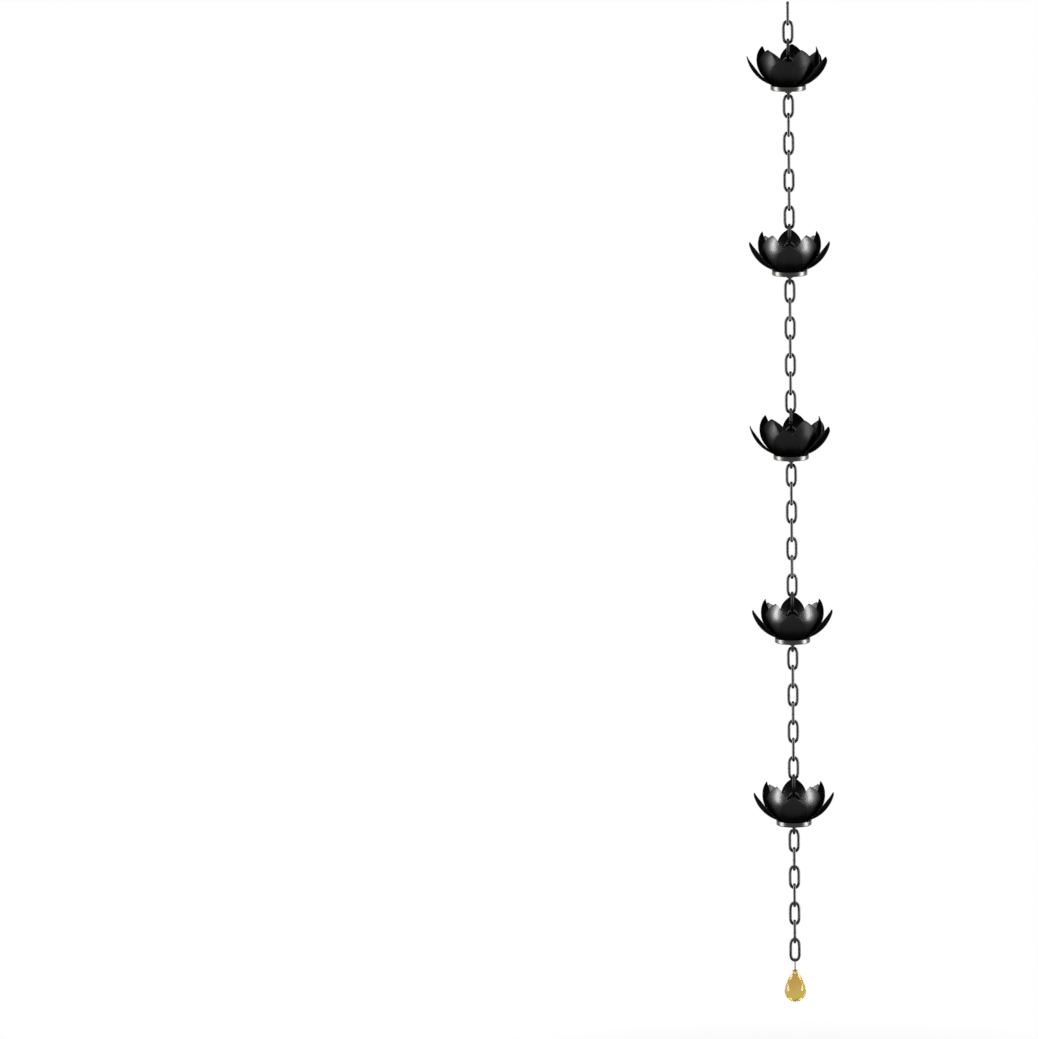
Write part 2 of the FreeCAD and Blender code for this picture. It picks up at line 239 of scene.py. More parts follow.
def about(value: float, spread: float) -> dict[str, float]:
    """Map Range's values that turn a noise, mostly 0.3 to 0.7, into a value give or take."""
    return {"From Min": 0.3, "From Max": 0.7, "To Min": value - spread, "To Max": value + spread}


class NodeSheet:
    """A material or world that is being wired."""

    def __init__(self, owner: bpy.types.Material | bpy.types.World) -> None:
        """Gives the owner an empty tree."""
        owner.use_nodes = True
        self.tree = owner.node_tree
        self.tree.nodes.clear()

    def add(self, kind: str, links: dict | None = None, values: dict | None = None,
            **settings: object) -> bpy.types.Node:
        """Adds a node with its settings, input values and incoming links.

        Args:
            kind: the node's type.
            links: input name or number to the socket that feeds it.
            values: input name or number to its value.
            settings: attributes of the node.

        Returns:
            The new node.
        """
        node = self.tree.nodes.new(kind)
        for key, value in settings.items():
            setattr(node, key, value)
        for key, value in (values or {}).items():
            node.inputs[key].default_value = value
        for key, socket in (links or {}).items():
            self.tree.links.new(socket, node.inputs[key])
        return node


class MaterialSheet(NodeSheet):
    """A new material that is being wired, on its piece's Object coordinates."""

    def __init__(self, name: str) -> None:
        """Starts the material."""
        self.made = bpy.data.materials.new(name)
        super().__init__(self.made)
        self.where = self.add("ShaderNodeTexCoord").outputs["Object"]

    def coated(self, skin: bpy.types.NodeSocket) -> bpy.types.Material:
        """Lays the skin over the material, which is then ready."""
        self.add("ShaderNodeOutputMaterial", {"Surface": skin})
        return self.made


@dataclass(frozen=True)
class SteelSkin:
    """The skin of coated or blackened steel: a fine relief, and a gloss that wanders."""

    name: str
    colour: str
    roughness: float
    relief_size: float          # millimetres from one crest to the next
    relief_depth: float         # millimetres
    patch_size: float           # millimetres over which the gloss wanders
    patch_gloss: float          # how far the roughness wanders
    relief_strength: float = 0.6

    def wired(self, values: dict[str, object]) -> bpy.types.Material:
        """Builds the material on Object coordinates, from a fine noise and a wide one.

        Args:
            values: the shader's other input values, by name.

        Returns:
            The material.
        """
        sheet = MaterialSheet(self.name)
        relief = sheet.add("ShaderNodeTexNoise", {"Vector": sheet.where},
                           {"Scale": 1 / (self.relief_size * MM), "Detail": 2.0})
        patch = sheet.add("ShaderNodeTexNoise", {"Vector": sheet.where},
                          {"Scale": 1 / (self.patch_size * MM), "Detail": 3.0})
        gloss = sheet.add("ShaderNodeMapRange", {"Value": patch.outputs["Fac"]},
                          about(self.roughness, self.patch_gloss))
        bump = sheet.add("ShaderNodeBump", {"Height": relief.outputs["Fac"]},
                         {"Strength": self.relief_strength, "Distance": self.relief_depth * MM})
        skin = sheet.add("ShaderNodeBsdfPrincipled",
                         {"Roughness": gloss.outputs["Result"], "Normal": bump.outputs["Normal"]},
                         {"Base Color": linear(self.colour), **values})
        return sheet.coated(skin.outputs["BSDF"])


@dataclass(frozen=True)
class PowderCoat(SteelSkin):
    """Baked powder coat on steel: an even plastic skin with the faint orange peel it cures to."""

    relief_size: float = 0.9
    relief_depth: float = 0.001
    patch_size: float = 30.0
    patch_gloss: float = 0.03
    specular: float = 0.3
    ior: float = 1.5

    def material(self) -> bpy.types.Material:
        """Builds the material, a dark plastic with a weak clear gloss."""
        return self.wired({"Specular IOR Level": self.specular, "IOR": self.ior})


@dataclass(frozen=True)
class BlackenedSteel(SteelSkin):
    """Sheet steel blackened and waxed: a dark satin metal skin with broad grey highlights.

    The skin is rolled and pressed metal, so its gloss wanders in soft patches, and a faint ripple
    from the press bends the highlights. At grazing angles it stays dark, which edge says.
    """

    relief_size: float = 2.2
    relief_depth: float = 0.005
    patch_size: float = 26.0
    patch_gloss: float = 0.05
    edge: str = "#8c8c8c"

    def material(self) -> bpy.types.Material:
        """Builds the material, a dark metal."""
        return self.wired({"Metallic": 1.0, "Specular Tint": linear(self.edge)})


@dataclass(frozen=True)
class TurnedGunmetal:
    """Blackened steel band, finished on a lathe: fine lines run round it and streak its gloss."""

    name: str
    colour: str
    pale: str
    roughness: float
    line_pitch: float = 0.35    # millimetres between lines; coarser than real, so that they show
    line_run: float = 120.0     # how many times longer than wide a line is
    line_depth: float = 0.01    # millimetres
    line_strength: float = 0.5
    line_gloss: float = 0.06    # how far the roughness differs from line to line

    def material(self) -> bpy.types.Material:
        """Builds the material: noise that is stretched round the band and close set up it."""
        sheet = MaterialSheet(self.name)
        pitch = 1 / (self.line_pitch * MM)
        stretched = sheet.add("ShaderNodeMapping", {"Vector": sheet.where},
                              {"Scale": (pitch / self.line_run, pitch / self.line_run, pitch)})
        lines = sheet.add("ShaderNodeTexNoise", {"Vector": stretched.outputs["Vector"]},
                          {"Scale": 1.0, "Detail": 3.0})
        tone = sheet.add("ShaderNodeMix", {"Factor": lines.outputs["Fac"]},
                         {6: linear(self.colour), 7: linear(self.pale)}, data_type="RGBA")
        gloss = sheet.add("ShaderNodeMapRange", {"Value": lines.outputs["Fac"]},
                          about(self.roughness, self.line_gloss))
        bump = sheet.add("ShaderNodeBump", {"Height": lines.outputs["Fac"]},
                         {"Strength": self.line_strength, "Distance": self.line_depth * MM})
        skin = sheet.add("ShaderNodeBsdfPrincipled",
                         {"Base Color": tone.outputs[2], "Roughness": gloss.outputs["Result"],
                          "Normal": bump.outputs["Normal"]},
                         {"Metallic": 1.0})
        return sheet.coated(skin.outputs["BSDF"])


@dataclass(frozen=True)
class DulledWire:
    """Bare drawn steel wire gone dull: grey-brown, with a weak sheen along its length."""

    name: str
    colour: str
    roughness: float
    metal: float = 0.3          # share of bare metal in the dull skin
    specular: float = 0.2
    grain_size: float = 1.1111  # millimetres over which the drawn skin's gloss wanders
    grain_gloss: float = 0.08   # how far the roughness wanders, either way

    def material(self) -> bpy.types.Material:
        """Builds the material, with a little wander in its gloss."""
        sheet = MaterialSheet(self.name)
        drawn = sheet.add("ShaderNodeTexNoise", {"Vector": sheet.where},
                          {"Scale": 1 / (self.grain_size * MM), "Detail": 2.0})
        gloss = sheet.add("ShaderNodeMapRange", {"Value": drawn.outputs["Fac"]},
                          {"To Min": self.roughness - self.grain_gloss,
                           "To Max": self.roughness + self.grain_gloss})
        skin = sheet.add("ShaderNodeBsdfPrincipled", {"Roughness": gloss.outputs["Result"]},
                         {"Base Color": linear(self.colour), "Metallic": self.metal,
                          "Specular IOR Level": self.specular})
        return sheet.coated(skin.outputs["BSDF"])


@dataclass(frozen=True)
class AmberGlass:
    """Cut and polished amber glass: clear, with light bent between its facets.

    Its colour goes from a honey brown at the top to a greener yellow at the lower right.
    """

    name: str
    colour: str
    low_colour: str
    roughness: float
    ior: float
    top: float                  # height in metres where the upper colour begins to change
    change: float               # metres over which it changes
    slant: float = 0.5          # how far the change leans to the right
    cord_size: float = 5.5556   # millimetres from one cord of the melt to the next
    cord_depth: float = 0.02    # millimetres
    cord_strength: float = 0.3

    def material(self) -> bpy.types.Material:
        """Builds the material, a clear tinted body with a polished skin."""
        sheet = MaterialSheet(self.name)
        along = sheet.add("ShaderNodeVectorMath", {0: sheet.where}, {1: (self.slant, 0.0, -1.0)},
                          operation="DOT_PRODUCT")
        share = sheet.add("ShaderNodeMapRange", {"Value": along.outputs["Value"]},
                          {"From Min": -self.top, "From Max": self.change - self.top},
                          interpolation_type="SMOOTHSTEP")
        tone = sheet.add("ShaderNodeMix", {"Factor": share.outputs["Result"]},
                         {6: linear(self.colour), 7: linear(self.low_colour)}, data_type="RGBA")
        cords = sheet.add("ShaderNodeTexNoise", {"Vector": sheet.where},
                          {"Scale": 1 / (self.cord_size * MM), "Detail": 1.0})
        bump = sheet.add("ShaderNodeBump", {"Height": cords.outputs["Fac"]},
                         {"Strength": self.cord_strength, "Distance": self.cord_depth * MM})
        skin = sheet.add("ShaderNodeBsdfPrincipled",
                         {"Base Color": tone.outputs[2], "Normal": bump.outputs["Normal"]},
                         {"Roughness": self.roughness, "IOR": self.ior,
                          "Transmission Weight": 1.0})
        return sheet.coated(skin.outputs["BSDF"])


# Chain

@dataclass
class WireOval:
    """A closed oval of round wire that stands in the XZ plane about the origin."""

    wire: float
    eye_length: float
    eye_width: float
    bow_gain: float             # how much tighter the bows are than a plain half circle
    shoulder: float             # centreline radius between bow and leg
    seam_width: float = 0.0     # butt weld half way down the right-hand leg
    seam_proud: float = 0.0
    around: int = 24
    seam_steps: int = 4
    bow_steps: int = 9
    shoulder_steps: int = 3

    def quarter(self) -> tuple[np.ndarray, np.ndarray]:
        """The centreline from the middle of the right leg to the top, with its outward normals.

        The leg rises straight, the shoulder's wide arc takes over with the same normal, and the
        bow's tight arc, centred on the axis, carries on to the top. Without a seam, its rows
        fall on one another and are welded.

        Returns:
            Points and unit normals, as rows of x and z.
        """
        half_width = (self.eye_width + self.wire) / 2
        bow = half_width - self.bow_gain
        bow_z = (self.eye_length + self.wire) / 2 - bow
        meet = math.acos((self.shoulder - half_width) / (self.shoulder - bow))
        leg_end = bow_z - (self.shoulder - bow) * math.sin(meet)
        swing = math.degrees(meet)
        rise = np.append(np.linspace(0, self.seam_width / 2, self.seam_steps + 1), leg_end / 2)
        leg = np.stack([np.full_like(rise, half_width), rise], axis=1)
        wide, tight = (0, swing, self.shoulder_steps + 1), (swing, 90, self.bow_steps + 1)
        line = [leg, arc((half_width - self.shoulder, leg_end), self.shoulder, *wide),
                arc((0, bow_z), bow, *tight)[1:]]
        normal = [arc((0, 0), 1, 0, 0, len(leg)), arc((0, 0), 1, *wide),
                  arc((0, 0), 1, *tight)[1:]]
        return np.concatenate(line), np.concatenate(normal)

    def shell(self) -> Shell:
        """Carries the wire's circle round the oval.

        The quarter is mirrored to a whole loop. A point is the centreline's, plus the wire's
        radius times cos(angle) along the normal and sin(angle) along Y. On the right-hand leg
        the radius swells to the weld by proud times 1 - 2 (z / half the seam's width) squared.

        Returns:
            The closed tube.
        """
        line, normal = self.quarter()
        sides = [(1, 1, 1), (-1, 1, -1), (-1, -1, 1), (1, -1, -1)]
        lines = [(line * (x, z))[::way][:-1] for x, z, way in sides]
        normals = [(normal * (x, z))[::way][:-1] for x, z, way in sides]
        line, normal = np.concatenate(lines), np.concatenate(normals)
        radius = np.full(len(line), self.wire / 2)
        if self.seam_width:
            swell = 1 - 2 * (line[:, 1] / (self.seam_width / 2))**2
            radius += np.where(line[:, 0] > 0, self.seam_proud * np.clip(swell, 0, 1), 0)
        angle = round_angles(self.around)
        out = radius[:, None] * np.cos(angle)
        return Shell.woven(line[:, :1] + normal[:, :1] * out, radius[:, None] * np.sin(angle),
                           line[:, 1:] + normal[:, 1:] * out, ring=True, loop=True)


@dataclass
class Chain:
    """The run of welded links: which hang singly, and which hang inside the cups."""

    link: WireOval
    play: float = 0.15          # between one bow and the next
    links_to_first_cup: int = 5
    links_per_cup: int = 10
    tail_links: int = 7
    links_inside_cup: int = 3

    @property
    def count(self) -> int:
        """How many links there are."""
        return self.links_to_first_cup + self.links_per_cup * (CUPS - 1) + self.tail_links

    def centre(self, number: int) -> float:
        """Height of the middle of a link; link 1 is at the top."""
        pitch = self.link.eye_length - self.play
        return -self.link.eye_length / 2 - pitch * (number - 1)

    def through(self, cup: int) -> int:
        """Number of the link that goes through a cup's floor; cups count from 0."""
        return self.links_to_first_cup + self.links_per_cup * cup

    def nodes(self) -> dict[str, list[int]]:
        """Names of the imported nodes, each with the numbers of the links in it."""
        groups: dict[str, list[int]] = {}
        inside = {self.through(cup) - back: f"cup_{cup + 1}_links"
                  for cup in range(CUPS) for back in range(self.links_inside_cup)}
        for number in range(1, self.count + 1):
            groups.setdefault(inside.get(number, f"link_{number:02d}"), []).append(number)
        return groups

    def build(self, finish: bpy.types.Material) -> None:
        """Makes the links; odd ones stand edge-on to the front, and the welds change sides."""
        pattern = self.link.shell()
        for node, numbers in self.nodes().items():
            shells = [pattern.placed((90 if n % 2 else 0) + (180 if n // 2 % 2 else 0),
                                     self.centre(n)) for n in numbers]
            deliver(make_piece(f"{node}_wire", Shell.joined(shells)), finish, node)


# Cups

@dataclass
class Collar:
    """The pressed band under the petals, turned in at both edges, from z = 0 up."""

    radius: float = 29.5
    height: float = 8.5
    wall: float = 1.2
    top_width: float = 7.5
    lip_width: float = 2.6
    top_bend: float = 0.3       # inside radius of the upper edge
    lip_bend: float = 0.8       # inside radius of the lower edge
    around: int = 120
    edge_points: int = 6
    bend_steps: int = 5
    close_by: float = 0.35      # distance of the row that keeps the flat beside a bend flat

    def skin(self, depth: float) -> np.ndarray:
        """The section's line at a depth from its outside, from the lip round to the top."""
        lip = self.lip_bend + self.wall
        top = self.top_bend + self.wall
        lip_free = self.radius - self.lip_width + self.wall / 2
        top_free = self.radius - self.top_width + self.wall / 2
        low = arc((self.radius - lip, lip), lip - depth, -90, 0, self.bend_steps + 1)
        high = arc((self.radius - top, self.height - top), top - depth, 0, 90,
                   self.bend_steps + 1)
        side = self.radius - depth
        return np.concatenate([
            [[lip_free, depth]], low, [[side, lip + self.close_by]],
            [[side, self.height - top - self.close_by]], high,
            [[self.radius - top - self.close_by, self.height - depth],
             [top_free, self.height - depth]]])

    def shell(self) -> Shell:
        """Turns the section about the Z axis: its outside, its inside and two rounded edges."""
        half = self.wall / 2
        top_edge, lip_edge = (
            arc((self.radius - width + half, middle), half, 90, 270, self.edge_points)[1:-1]
            for width, middle in ((self.top_width, self.height - half), (self.lip_width, half)))
        section = np.concatenate([self.skin(0), top_edge, self.skin(self.wall)[::-1], lip_edge])
        radius, height = section.T
        angle = round_angles(self.around)[:, None]
        return Shell.woven(radius * np.cos(angle), radius * np.sin(angle), height,
                           ring=True, loop=True, flipped=True)


@dataclass
class PetalSheet:
    """One stamped sheet: a floor with a round hole, and five petals that fold up from its sides."""

    corner_radius: float        # of the floor's corners, before the gap between petals
    fold_length: float          # the fold at the root, along the petal
    fold_angle: float           # slope at the end of the fold, degrees
    length: float               # the whole petal, along its keel
    tip_angle: float            # slope at the tip, degrees
    sheet: float = 0.8
    root_gap: float = 1.2       # between neighbouring petals where they leave the floor
    drain: float = 13.0         # radius of the hole
    half_width: float = 21.6
    widest: float = 0.49        # share of the length where the petal is widest
    root_power: float = 1.7
    tip_power: float = 3.2
    tip_half_width: float = 0.7
    cupping_radius: float = 52.0
    cupping_length: float = 25.0
    across: int = 20
    along: int = 36
    edge_steps: int = 4
    floor_rows: int = 4
    edge_strip: float = 0.97    # where the last column stands that keeps the skin beside the edge

    @property
    def apothem(self) -> float:
        """Distance of the fold lines from the axis."""
        gap = self.root_gap / 2 * math.sin(HALF_SECTOR)
        return (self.corner_radius + gap) * math.cos(HALF_SECTOR)

    def keel(self, distance: np.ndarray) -> tuple[np.ndarray, np.ndarray, np.ndarray]:
        """The petal's middle line: flat inside the fold line, then the fold's arc, then the body's.

        Args:
            distance: from the fold line, along the petal; negative on the floor.

        Returns:
            Radius from the axis, height and slope.
        """
        fold, tip = math.radians(self.fold_angle), math.radians(self.tip_angle)
        fold_radius = self.fold_length / fold
        body_radius = (self.length - self.fold_length) / (tip - fold)
        first = np.clip(distance, 0, self.fold_length) / fold_radius
        slope = first + np.maximum(distance - self.fold_length, 0) / body_radius
        radius = (self.apothem + np.minimum(distance, 0) + fold_radius * np.sin(first)
                  + body_radius * (np.sin(slope) - np.sin(first)))
        height = (fold_radius * (1 - np.cos(first))
                  + body_radius * (np.cos(first) - np.cos(slope)))
        return radius, height, slope

    def outline(self, distance: np.ndarray) -> tuple[np.ndarray, np.ndarray]:
        """Half the width, and the radius of the rounded edge.

        From the root the half width swells as one power of the way to the widest place, and from
        there it closes to the tip as another. Inside the fold line the gap between two petals
        ends in a half circle, where the edge's rounding dies out.

        Args:
            distance: from the fold line, along the petal; negative on the floor.

        Returns:
            Half widths and edge radii.
        """
        tangent = math.tan(HALF_SECTOR)
        half_gap = self.root_gap / 2
        root = self.apothem * tangent - half_gap
        share = np.clip(distance / self.length, 0, 1)
        rooted = (self.half_width
                  - (self.half_width - root) * np.clip(1 - share / self.widest, 0, 1)**self.root_power)
        past = np.clip((share - self.widest) / (1 - self.widest), 0, 1)
        tipped = self.half_width - (self.half_width - self.tip_half_width) * past**self.tip_power
        petal = np.where(share < self.widest, rooted, tipped)
        open_share = np.sqrt(np.clip(1 - (np.minimum(distance, 0) / half_gap)**2, 0, 1))
        floor = (self.apothem + distance) * tangent - half_gap * open_share
        return np.where(distance < 0, floor, petal), self.sheet / 2 * open_share

    def place(self, distance: np.ndarray, offset: np.ndarray,
              depth: np.ndarray) -> tuple[np.ndarray, np.ndarray, np.ndarray]:
        """Points of the sheet, for a petal that points along X.

        Across the petal the sheet curves up with a bend that grows smoothly from the fold line:
        rise = bend offset squared / (1 + lean), where lean is the cosine of the angle that the
        skin has turned, and the depth in the sheet adds along the skin's normal.

        Args:
            distance: along the keel from the fold line.
            offset: across the petal from the keel.
            depth: from the lower skin to the upper.

        Returns:
            Their x, y and z.
        """
        radius, height, slope = self.keel(distance)
        grown = np.clip(distance / self.cupping_length, 0, 1)
        bend = grown**2 * (3 - 2 * grown) / self.cupping_radius
        lean = np.sqrt(1 - (bend * offset)**2)
        rise = bend * offset**2 / (1 + lean) + depth * lean
        return (radius - rise * np.sin(slope), offset * (1 - depth * bend),
                height + rise * np.cos(slope))

    def columns(self) -> np.ndarray:
        """Places across a skin, from -1 to 1, with one column close to each edge."""
        inner = np.linspace(-1, 1, self.across + 1)[1:-1]
        return np.concatenate([[-1, -self.edge_strip], inner, [self.edge_strip, 1]])

    def petal(self) -> Shell:
        """Carries the sheet's section along the keel, from the floor to the closed tip.

        The section runs along the lower skin, round one edge, back along the upper skin and
        round the other edge. At the tip it shrinks to its middle line along a quarter circle.

        Returns:
            The petal, open towards the floor.
        """
        half = self.sheet / 2
        relief = -self.root_gap / 2 * np.cos(np.radians([0, 20, 45, 70]))
        tip = np.radians([0, 30, 60, 90])
        body = self.length - half
        swell = np.linspace(0, 1, self.along + 1)[:-1]
        distance = np.concatenate([relief, body * swell, body + half * np.sin(tip)])[:, None]
        shrink = np.concatenate([np.ones(len(relief) + self.along), np.cos(tip)])[:, None]
        flat = self.columns()
        turn = np.radians(np.linspace(-90, 90, self.edge_steps + 1)[1:-1])
        level, edge_on = np.ones_like(flat), np.ones_like(turn)
        flats = np.concatenate([flat, edge_on, flat[::-1], -edge_on])
        rounds = np.concatenate([0 * level, np.cos(turn), 0 * level, -np.cos(turn)])
        depths = np.concatenate([-level, np.sin(turn), level, -np.sin(turn)])
        width, edge = self.outline(distance)
        offset = (width - edge) * flats + edge * rounds * shrink
        depth = half * (1 + depths * shrink)
        return Shell.woven(*self.place(distance, offset, depth), ring=True)

    def floor_sector(self) -> Shell:
        """A fifth of the floor, from the petal in to the hole.

        Rows run in along the lower skin, round the edge of the hole and out along the upper
        skin, and columns run towards the axis.

        Returns:
            The sector, open at its sides and towards the petal.
        """
        half = self.sheet / 2
        start = self.apothem - self.root_gap / 2
        side = start * math.tan(HALF_SECTOR) * self.columns()
        outer, angle = np.hypot(start, side), np.arctan2(side, start)
        inward = np.linspace(0, 1, self.floor_rows)[:, None]
        skin = outer + (self.drain + half - outer) * inward
        turn = np.radians(np.linspace(-90, 90, self.edge_steps + 1)[1:-1])[:, None]
        rim = np.broadcast_to(self.drain + half * (1 - np.cos(turn)), (len(turn), len(angle)))
        reach = np.concatenate([skin, rim, skin[::-1]])
        height = np.concatenate([0 * inward, half * (1 + np.sin(turn)), 0 * inward + self.sheet])
        return Shell.woven(reach * np.cos(angle), reach * np.sin(angle), height, flipped=True)

    def shell(self) -> Shell:
        """The whole sheet, with the petal's and the floor's five copies welded to one skin."""
        parts = [self.petal(), self.floor_sector()]
        return Shell.joined([part.placed(SECTOR * k, 0) for k in range(PETALS)
                             for part in parts]).welded()


@dataclass
class HangerBar:
    """The dipped bar across a collar, with the weld that holds each end to the lip."""

    diameter: float = 4.0
    rise: float = 0.6           # of its ends' underside above the collar's lower edge
    dip: float = 7.0            # of its middle below its ends
    bend: float = 5.0           # centreline radius of the dip's bends
    reach: float = 26.8         # half its length
    chamfer: float = 0.4
    weld_size: tuple[float, float, float] = (1.9, 2.3, 1.5)
    weld_height: float = 1.9    # of the weld's middle above the collar's lower edge
    weld_past: float = 0.4      # of its middle past the bar's end
    weld_lump: float = 0.06     # how far its radius wavers, as a share
    weld_grid: tuple[int, int] = (11, 20)
    crease: float = 40.0        # degrees past which an edge stays sharp
    around: int = 28
    bend_steps: int = 12

    def stations(self) -> np.ndarray:
        """The bar's rings from left to right.

        Returns:
            Rows of x, height above the collar's lower edge, slope and radius.
        """
        radius = self.diameter / 2
        level = self.rise + radius
        swing = np.arccos(1 - self.dip / (2 * self.bend))
        turn = np.linspace(0, swing, self.bend_steps)
        flat = np.array([[-self.reach, level, 0, 0], [-self.reach, level, 0, radius - self.chamfer],
                         [-self.reach + self.chamfer, level, 0, radius]])
        across, fall = self.bend * np.sin(turn), self.bend * (1 - np.cos(turn))
        thick = np.full_like(turn, radius)
        shoulder = np.stack([across - 2 * across[-1], level - fall, -turn, thick], axis=1)
        bottom = np.stack([-across, level - self.dip + fall, -turn, thick], axis=1)
        left = np.concatenate([flat, shoulder, bottom[-2::-1]])
        right = left[-2::-1] * np.array([-1, 1, -1, 1])
        return np.concatenate([left, right])

    def shell(self) -> Shell:
        """Sweeps a round section along the dipped line, and adds the two welds."""
        x, height, slope, radius = (column[:, None] for column in self.stations().T)
        angle = round_angles(self.around)
        bar = Shell.woven(x - radius * np.sin(angle) * np.sin(slope), -radius * np.cos(angle),
                          height + radius * np.sin(angle) * np.cos(slope),
                          ring=True, flipped=True)
        return Shell.joined([bar, self.weld(1), self.weld(-1)])

    def weld(self, side: int) -> Shell:
        """A lumpy bead: an ellipsoid whose radius wavers by a few waves each way.

        Args:
            side: 1 for the right-hand end, -1 for the left.

        Returns:
            The closed bead.
        """
        rows, around = self.weld_grid
        width, depth, height = self.weld_size
        tilt = np.linspace(-np.pi / 2, np.pi / 2, rows)[:, None]
        angle = round_angles(around)
        lump = 1 + self.weld_lump * np.cos(tilt) * np.sin(3 * angle + side) * np.cos(4 * tilt)
        return Shell.woven(
            side * (self.reach + self.weld_past) + width * np.cos(tilt) * np.cos(angle) * lump,
            depth * np.cos(tilt) * np.sin(angle) * lump,
            self.weld_height + height * np.sin(tilt) * lump, ring=True)


@dataclass
class Cup:
    """A lotus cup: collar, outer sheet and inner sheet on one another, and the bar inside."""

    chain: Chain
    collar: Collar
    outer: PetalSheet
    inner: PetalSheet
    bar: HangerBar
    bar_play: float = 0.15      # between the bar and the bow that it rests on
    seat_gap: float = 0.05      # between collar, outer sheet and inner sheet
    turns: tuple[float, ...] = (-8.0, 0.0, -8.0, 0.0, 0.0)
    to_front: float = -90.0     # turns a petal from X to the front

    def bottom(self, cup: int) -> float:
        """Height of the lower edge of a cup's collar."""
        link = self.chain.link
        bearing = self.chain.centre(self.chain.through(cup) + 1) + link.eye_length / 2 + link.wire
        return bearing + self.bar_play - self.bar.rise + self.bar.dip

    def build(self, petal_finish: bpy.types.Material, collar_finish: bpy.types.Material,
              bar_finish: bpy.types.Material) -> None:
        """Makes the three pieces of each cup, and the bars of all five as one piece."""
        outer_height = self.collar.height + self.seat_gap
        inner_height = outer_height + self.outer.sheet + self.seat_gap
        layers = [
            ("collar_band", "collar", Slot.COLLAR, collar_finish,
             self.collar.shell()),
            ("outer_sheet", "outer_petals", Slot.PETALS, petal_finish,
             self.outer.shell().placed(self.to_front, outer_height)),
            ("inner_sheet", "inner_petals", Slot.PETALS, petal_finish,
             self.inner.shell().placed(self.to_front + SECTOR / 2, inner_height))]
        bar, bars = self.bar.shell(), []
        for cup in range(CUPS):
            name, turn, bottom = f"cup_{cup + 1}", self.turns[cup], self.bottom(cup)
            for piece, node, slot, finish, shell in layers:
                deliver(make_piece(f"{name}_{piece}", shell.placed(turn, bottom)), finish,
                        f"{name}_{node}")
            bars.append(bar.placed(turn, bottom))
        deliver(make_piece("hanger_bars_round", Shell.joined(bars), self.bar.crease),
                bar_finish, "hanger_bars")


# Foot of the chain

@dataclass
class Foot:
    """The wire ring under the last link, and the cut-glass drop on it."""

    chain: Chain
    ring: WireOval

    def build(self, ring_finish: bpy.types.Material, glass: bpy.types.Material) -> None:
        """Makes the ring, edge-on to the front, and dresses the drop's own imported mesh."""
        last = self.chain.centre(self.chain.count)
        middle = last - self.chain.link.eye_length / 2 + self.chain.play - self.ring.eye_length / 2
        deliver(make_piece("drop_ring_wire", self.ring.shell().placed(90, middle)),
                ring_finish, "drop_ring")
        drop = frame["nodes"]["glass_drop"]
        drop.data.materials.clear()
        drop.data.materials.append(glass)
        log.info("%s keeps its packed facets", drop.name)


# Stage

@dataclass(frozen=True)
class Board:
    """A tall bright board that shows only in the gloss of some pieces and adds no other light."""

    name: str
    degrees: float              # how far round from the front it stands, to the right
    width: float                # metres
    low: float                  # heights of its two ends, metres
    high: float
    glow: float                 # brightness, where the background's white is 1
    shown_in: str               # pattern of the names of the pieces that reflect it


